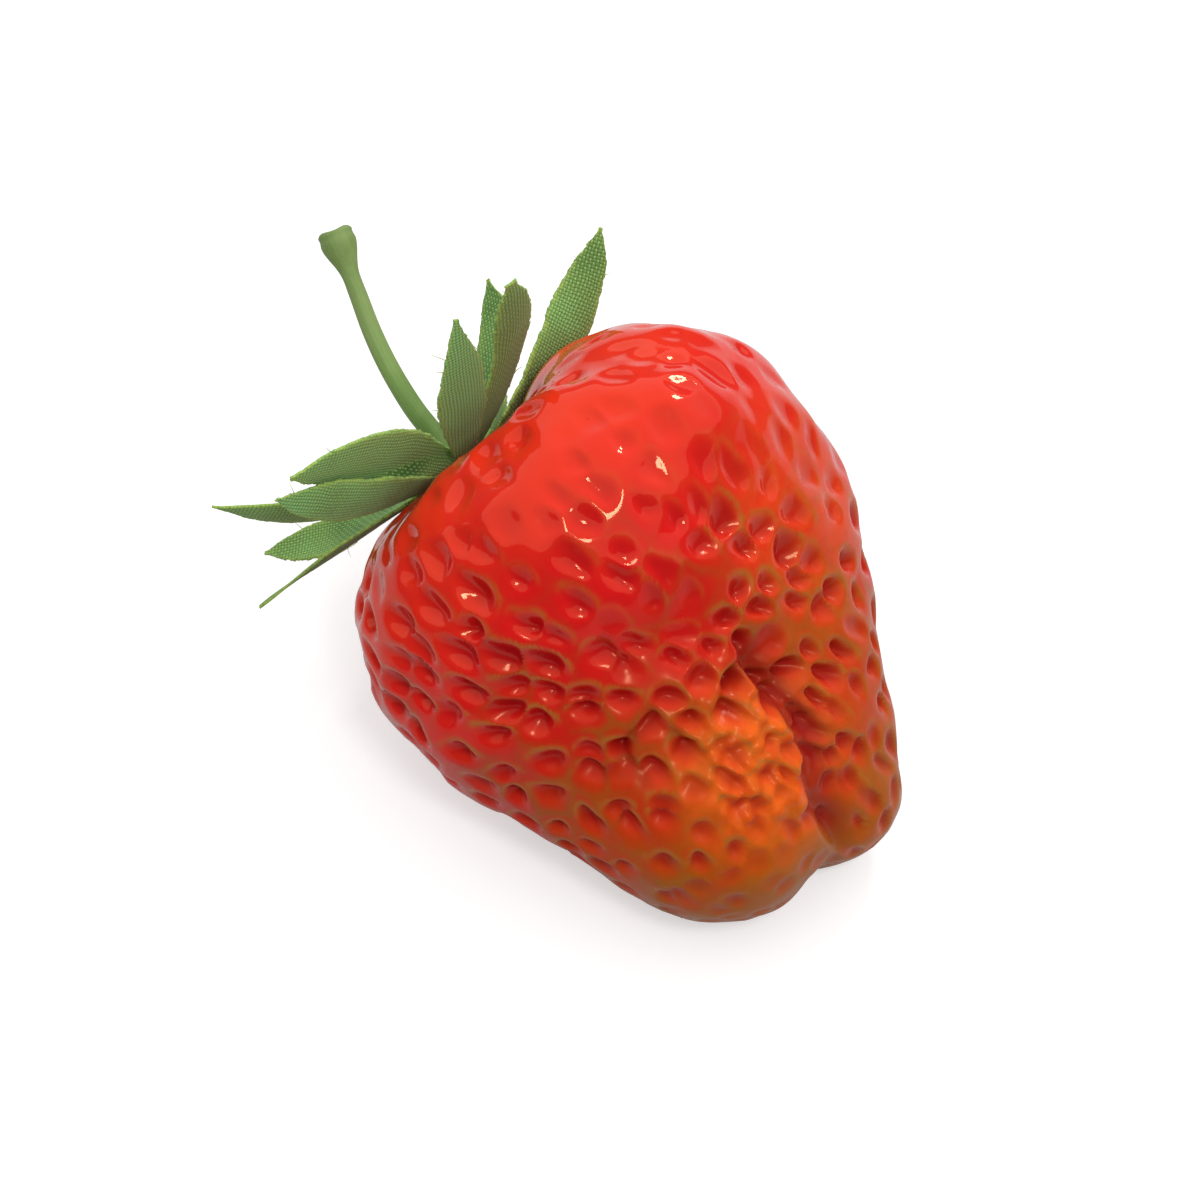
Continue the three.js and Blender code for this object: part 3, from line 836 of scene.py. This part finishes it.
# thread is a painted highlight on the tops of the upper threads; shade is painted shade where threads dip
# and towards the root.
CLOTHS = {
    "leaf_cloth_dark": {
        "olive": (76, 114, 54), "leaf": (120, 160, 84), "fresh": (138, 206, 120),
        "thread": (158, 202, 108), "shade": (74, 102, 50),
    },
    "leaf_cloth": {
        "olive": (52, 110, 46), "leaf": (124, 168, 88), "fresh": (138, 198, 110),
        "thread": (166, 202, 108), "shade": (78, 104, 48),
    },
}
CUT_EDGE = (160, 188, 84)
# The share of a thread's height that it loses where it dips under another.
WEAVE_DIP = 0.45
STEM_PAINT = [
    (0.0, (104, 136, 64)), (0.3, (122, 156, 76)), (0.7, (136, 160, 90)), (0.92, (122, 146, 76)),
    (1.0, (118, 142, 74)),
]
STEM_STREAK, STEM_MOTTLE = (94, 124, 58), (154, 174, 108)
STREAK_SCALE = (5, 5, 0.35)
# The colour sockets of a mix node, by number, because several share a name.
MIX_COLOURS, MIX_RESULT = (6, 7), 2


def linear(red, green, blue):
    """A colour given as 0 to 255 display values, made linear."""
    values = np.array([red, green, blue]) / 255
    low, high = values / 12.92, ((values + 0.055) / 1.055) ** 2.4
    return (*np.where(values <= 0.04045, low, high), 1.0)


class Shader:
    """The node tree of a material or world, written as short calls."""

    def __init__(self, owner):
        owner.use_nodes = True
        self.owner = owner
        self.tree = owner.node_tree
        self.tree.nodes.clear()

    def node(self, kind, inputs=None, **settings):
        made = self.tree.nodes.new("ShaderNode" + kind)
        for key, value in settings.items():
            setattr(made, key, value)
        for key, value in (inputs or {}).items():
            if isinstance(value, bpy.types.NodeSocket):
                self.tree.links.new(value, made.inputs[key])
            else:
                made.inputs[key].default_value = value
        return made

    def math(self, operation, a, b=0.0, clamp=False):
        return self.node("Math", {0: a, 1: b}, operation=operation, use_clamp=clamp).outputs[0]

    def attribute(self, name, output="Fac"):
        return self.node("Attribute", attribute_name=name).outputs[output]

    def times(self, a, b, clamp=False):
        return self.math("MULTIPLY", a, b, clamp)

    def plus(self, a, b, clamp=False):
        return self.math("ADD", a, b, clamp)

    def ramp(self, factor, stops):
        """stops are (position, colour), the colours as display values."""
        made = self.node("ValToRGB", {"Fac": factor})
        made.color_ramp.interpolation = "EASE"
        elements = made.color_ramp.elements
        while len(elements) < len(stops):
            elements.new(0.5)
        for element, (position, colour) in zip(elements, stops):
            element.position = position
            element.color = linear(*colour)
        return made.outputs["Color"]

    def mix(self, factor, a, b):
        """a where factor is 0, b where it is 1; either is a socket or a colour's display values."""
        inputs = {"Factor": factor}
        for socket, colour in zip(MIX_COLOURS, (a, b)):
            inputs[socket] = linear(*colour) if isinstance(colour, tuple) else colour
        return self.node("Mix", inputs, data_type="RGBA").outputs[MIX_RESULT]

    def remap(self, value, source, target):
        """value, from one range to another, held within it."""
        (low, high), (to_low, to_high) = source, target
        inputs = {"Value": value, "From Min": low, "From Max": high, "To Min": to_low, "To Max": to_high}
        return self.node("MapRange", inputs, clamp=True).outputs["Result"]

    def noise(self, vector, scale, detail=2.0, roughness=0.5):
        inputs = {"Vector": vector, "Scale": scale, "Detail": detail, "Roughness": roughness}
        return self.node("TexNoise", inputs).outputs["Fac"]

    def place(self):
        return self.node("TexCoord").outputs["Object"]

    def seen(self):
        """1 where the camera looks straight at it, 0 elsewhere."""
        return self.node("LightPath").outputs["Is Camera Ray"]

    def bump(self, height, distance, strength=1.0):
        inputs = {"Height": height, "Distance": distance, "Strength": strength}
        return self.node("Bump", inputs).outputs["Normal"]

    def finish(self, inputs):
        surface = self.node("BsdfPrincipled", inputs).outputs[0]
        self.node("OutputMaterial", {"Surface": surface})
        return self.owner


def lacquer_paint(s, tipward, patches, fine):
    """Red, browner on the ridges towards the tip, and orange in patches of painted light."""
    ridge_brown = s.times(s.attribute("ridge"), s.remap(patches, (0.4, 0.6), (0.1, 0.75)))
    ridge_brown = s.times(ridge_brown, s.remap(tipward, (0.2, 0.6), (0.1, 0.95)))
    colour = s.mix(ridge_brown, s.ramp(tipward, RED_PAINT), s.ramp(tipward, RIDGE_BROWN))
    # Orange on the main lobe's end is painted light, and orange along the right side is a painted
    # reflection.
    orange = s.times(s.attribute("orange"), s.remap(fine, (0.3, 0.6), (0.45, 0.95)))
    colour = s.mix(orange, colour, LACQUER["orange"])
    lobe = s.times(s.attribute("second"), s.remap(fine, (0.35, 0.6), (0.05, 0.35)))
    return s.mix(lobe, colour, LACQUER["second_lobe"])


def lacquer_dimples(s, colour, tipward, fine):
    """Painted shade deep in the pits, painted shadow on one wall and painted light on the other, and a tan
    rim of painted reflection.
    """
    pit = s.times(s.attribute("pit"), SHADING_SHARES["pit"], True)
    colour = s.mix(pit, colour, s.ramp(tipward, PIT_SHADE))
    wall = s.attribute("wall")
    colour = s.mix(s.times(wall, SHADING_SHARES["wall_shadow"], True), colour, LACQUER["wall_shadow"])
    colour = s.mix(s.times(wall, -SHADING_SHARES["wall_light"], True), colour, LACQUER["wall_light"])
    # Tan rim round the pits, stronger towards the tip: painted reflection.
    rim = s.times(s.attribute("rim"), s.remap(tipward, (0.12, 0.4), (0.0, 0.95)))
    return s.mix(s.times(rim, s.remap(fine, (0.35, 0.55), (0.4, 1.0))), colour, LACQUER["rim"])


def lacquer_material():
    s = Shader(bpy.data.materials.new("red_lacquer"))
    place = s.place()
    patches = s.noise(place, scale=130, detail=4, roughness=0.55)
    fine = s.noise(place, scale=420, detail=3, roughness=0.6)
    specks = s.noise(place, scale=1100, detail=2, roughness=0.7)
    tipward = s.plus(s.attribute("tipward"), s.remap(patches, (0.3, 0.7), (-0.08, 0.08)))
    colour = lacquer_dimples(s, lacquer_paint(s, tipward, patches, fine), tipward, fine)
    # Darker red in the cleft's fold and the wrinkles: painted shade.
    colour = s.mix(s.times(s.attribute("fold"), SHADING_SHARES["fold"]), colour, LACQUER["fold"])
    colour = s.mix(s.remap(specks, (0.74, 0.8), (0, 0.5)), colour, LACQUER["speck"])
    relief = s.plus(s.noise(place, scale=240), s.times(fine, WOBBLE["fine"]))
    return s.finish({
        "Base Color": colour,
        "Roughness": s.remap(s.plus(tipward, s.times(fine, 0.2)), (0.4, 0.68), (0.07, 0.26)),
        "Specular IOR Level": s.remap(tipward, (0.25, 0.7), (0.5, 0.2)),
        "Specular Tint": LACQUER_SHINE,
        "Normal": s.bump(relief, WOBBLE["distance"], WOBBLE["strength"]),
    })


def thread_height(s, own, other):
    """A thread's height: round across itself, and lower where it passes under the others."""
    return s.times(own, s.plus(s.times(other, WEAVE_DIP), 1 - WEAVE_DIP))


def weave(s, place):
    """Where the warp lies over the weft, as 0 or 1, and the height of the thread on top."""
    flat = s.node("SeparateXYZ", {0: s.attribute("cloth", "Vector")})
    drift = s.remap(s.noise(place, scale=260, detail=1), (0.3, 0.7), (-0.14, 0.14))
    columns = s.times(s.plus(flat.outputs["X"], drift), 1 / WEAVE_PITCH)
    rows = s.times(s.plus(flat.outputs["Y"], drift), 1 / WEAVE_PITCH)
    across = s.math("ABSOLUTE", s.math("SINE", s.times(columns, math.pi)))
    along = s.math("ABSOLUTE", s.math("SINE", s.times(rows, math.pi)))
    parity = s.plus(s.math("FLOOR", columns), s.math("FLOOR", rows))
    over = s.times(s.math("FRACT", s.times(parity, 0.5)), 2.0)
    warp = s.times(over, thread_height(s, across, along))
    weft = s.times(s.math("SUBTRACT", 1.0, over), thread_height(s, along, across))
    return over, s.plus(warp, weft)


def cloth_material(name):
    """Plain-woven cloth on the cloth coordinates, which are millimetres across and along a leaf."""
    s = Shader(bpy.data.materials.new(name))
    place = s.place()
    colours = CLOTHS[name]
    over, height = weave(s, place)
    worn = s.remap(s.noise(place, scale=120, detail=3), (0.3, 0.7), (-0.3, 0.3))
    hue = s.plus(s.times(s.attribute("tint"), 0.6), worn)
    stops = [(0.0, colours["olive"]), (0.5, colours["leaf"]), (1.0, colours["fresh"])]
    ground = s.ramp(s.plus(hue, 0.5, True), stops)
    # Lighter on the tops of the upper threads: painted highlight.
    lit = s.mix(s.times(over, s.remap(height, (0.5, 0.9), (0.0, 0.6))), ground, colours["thread"])
    # Darker where the threads dip under others: painted shade.
    woven = s.mix(s.remap(height, (0.15, 0.8), (0.8, 0.0)), lit, colours["shade"])
    # Darker towards the root of each leaf: painted shade.
    woven = s.mix(s.remap(s.attribute("tipward"), (0.0, 0.25), (0.45, 0.0)), woven, colours["shade"])
    ragged = s.remap(s.noise(place, scale=1500), (0.35, 0.6), (0.2, 0.9))
    colour = s.mix(s.times(s.attribute("edge"), ragged), woven, CUT_EDGE)
    fibres = s.noise(place, scale=4200, roughness=0.7)
    return s.finish({
        "Base Color": colour,
        "Roughness": 0.82,
        "Specular IOR Level": 0.25,
        "Sheen Weight": 0.12,
        "Sheen Roughness": 0.5,
        "Normal": s.bump(s.plus(height, s.times(fibres, 0.35)), 0.00008),
    })


def stem_material():
    s = Shader(bpy.data.materials.new("stem_plastic"))
    place = s.place()
    grain = s.node("Mapping", {"Vector": s.attribute("grain", "Vector"), "Scale": STREAK_SCALE})
    streaks = s.noise(grain.outputs[0], scale=3.0, detail=4, roughness=0.6)
    mottle = s.noise(place, scale=350, detail=3)
    body = s.ramp(s.attribute("height"), STEM_PAINT)
    colour = s.mix(s.remap(streaks, (0.35, 0.65), (0.0, 0.45)), body, STEM_STREAK)
    colour = s.mix(s.remap(mottle, (0.5, 0.75), (0.0, 0.3)), colour, STEM_MOTTLE)
    return s.finish({
        "Base Color": colour,
        "Roughness": s.remap(mottle, (0.3, 0.7), (0.42, 0.58)),
        "Specular IOR Level": 0.4,
        "Normal": s.bump(s.plus(streaks, s.times(mottle, 0.4)), 0.00012, 0.7),
    })


# -------- pieces

def add_piece(name, mesh_parts, material, node):
    made = mesh_object(name, *mesh_parts, material)
    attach(made, "root")
    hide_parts(node)
    return made


berry = add_piece("berry", berry_mesh(), lacquer_material(), "berry_body")
dark = cloth_material("leaf_cloth_dark")
light = cloth_material("leaf_cloth")
lower_leaves = star_mesh(LOWER_LEAVES, 0, "lower")
upper_leaves = star_mesh(UPPER_LEAVES, UPPER_LIFT, "upper")
lower = add_piece("lower_star", lower_leaves, dark, "calyx_lower")
upper = add_piece("upper_star", upper_leaves, light, "calyx_upper")
add_piece("moulded_stem", stem_mesh(), stem_material(), "stem")


# -------- stage, light and camera

# Metres, except the camera's lens and sensor, which are millimetres; angles in degrees.
FLOOR = {"half": 3.0, "grey": 0.62, "lift": 0.5}
# The panel overhead: its near edge is what ends the broad reflection on the berry.
PANEL = {"height": 0.62, "turn": 32, "size": (2.6, 2.4), "near_edge": 0.96, "shift": 0.25, "radiance": 0.96}
SPARK_DISTANCE = 0.5
SPARKS = [
    {"name": "spark_front", "azimuth": 76, "elevation": 61, "width": 0.09, "radiance": 25},
    {"name": "spark_back", "azimuth": -155, "elevation": 42, "width": 0.07, "radiance": 34},
]
# How bright the room is as a light, and as a backdrop.
ROOM = {"light": 0.22, "backdrop": 1.0}
CAMERA = {
    "azimuth": 52.8, "elevation": 56, "distance": 0.3704, "left": 3.6 * MM, "up": 3.0 * MM,
    "lens": 100, "sensor": 36, "clip": (0.01, 20),
}


def floor_material():
    """A pale floor that keeps its shadow; the camera sees it a little lifted."""
    s = Shader(bpy.data.materials.new("floor"))
    paint = s.node("BsdfDiffuse", {"Color": (*[FLOOR["grey"]] * 3, 1)}).outputs[0]
    lift = s.times(s.seen(), FLOOR["lift"])
    glow = s.node("Emission", {"Color": (1, 1, 1, 1), "Strength": lift}).outputs[0]
    both = s.node("AddShader", {0: paint, 1: glow}).outputs[0]
    s.node("OutputMaterial", {"Surface": both})
    return s.owner


def add_floor():
    half = FLOOR["half"]
    corners = [(-half, -half, 0), (half, -half, 0), (half, half, 0), (-half, half, 0)]
    mesh = bpy.data.meshes.new("floor")
    mesh.from_pydata(corners, [], [(0, 1, 2, 3)])
    mesh.materials.append(floor_material())
    new_object("floor", mesh)


def direction(azimuth, elevation):
    a, e = math.radians(azimuth), math.radians(elevation)
    return Vector((math.sin(a) * math.cos(e), -math.cos(a) * math.cos(e), math.sin(e)))


def add_lamp(name, place, target, size, radiance):
    """An area lamp, size metres, that shows with the given brightness."""
    lamp = bpy.data.lights.new(name, "AREA")
    lamp.shape = "RECTANGLE"
    lamp.size, lamp.size_y = size
    lamp.energy = radiance * math.pi * size[0] * size[1]
    made = new_object(name, lamp)
    made.location = place
    made.rotation_euler = (target - place).to_track_quat("-Z", "Y").to_euler()
    return made


def add_panel(middle):
    turn = math.radians(PANEL["turn"])
    near = Vector((math.sin(turn), -math.cos(turn), 0))
    along = Vector((math.cos(turn), math.sin(turn), 0))
    nearer = PANEL["near_edge"] * PANEL["height"] - PANEL["size"][1] / 2
    centre = middle + Vector((0, 0, PANEL["height"])) + near * nearer - along * PANEL["shift"]
    panel = add_lamp("panel", centre, centre - Vector((0, 0, 1)), PANEL["size"], PANEL["radiance"])
    panel.rotation_euler = (0, 0, turn)


def add_sparks(middle):
    for spark in SPARKS:
        place = middle + direction(spark["azimuth"], spark["elevation"]) * SPARK_DISTANCE
        add_lamp(spark["name"], place, middle, (spark["width"], spark["width"]), spark["radiance"])


def add_room():
    """A room that lights the scene less than it shows to the camera."""
    world = bpy.data.worlds.new("room")
    bpy.context.scene.world = world
    s = Shader(world)
    strength = s.remap(s.seen(), (0.0, 1.0), (ROOM["light"], ROOM["backdrop"]))
    back = s.node("Background", {"Strength": strength}).outputs[0]
    s.node("OutputWorld", {"Surface": back})


def add_camera():
    back = direction(CAMERA["azimuth"], CAMERA["elevation"])
    right = direction(CAMERA["azimuth"] + 90, 0)
    up = back.cross(right)
    aim = Vector(to_row(CORE)) - right * CAMERA["left"] + up * CAMERA["up"]
    camera = bpy.data.cameras.new("camera")
    camera.lens, camera.sensor_width = CAMERA["lens"], CAMERA["sensor"]
    camera.clip_start, camera.clip_end = CAMERA["clip"]
    made = new_object("camera", camera)
    made.location = aim + back * CAMERA["distance"]
    made.rotation_euler = (-back).to_track_quat("-Z", "Y").to_euler()
    bpy.context.scene.camera = made


add_floor()
add_panel(Vector(to_row(CORE)))
add_sparks(Vector(to_row(CORE)))
add_room()
add_camera()
bpy.context.scene.view_settings.view_transform = "Standard"
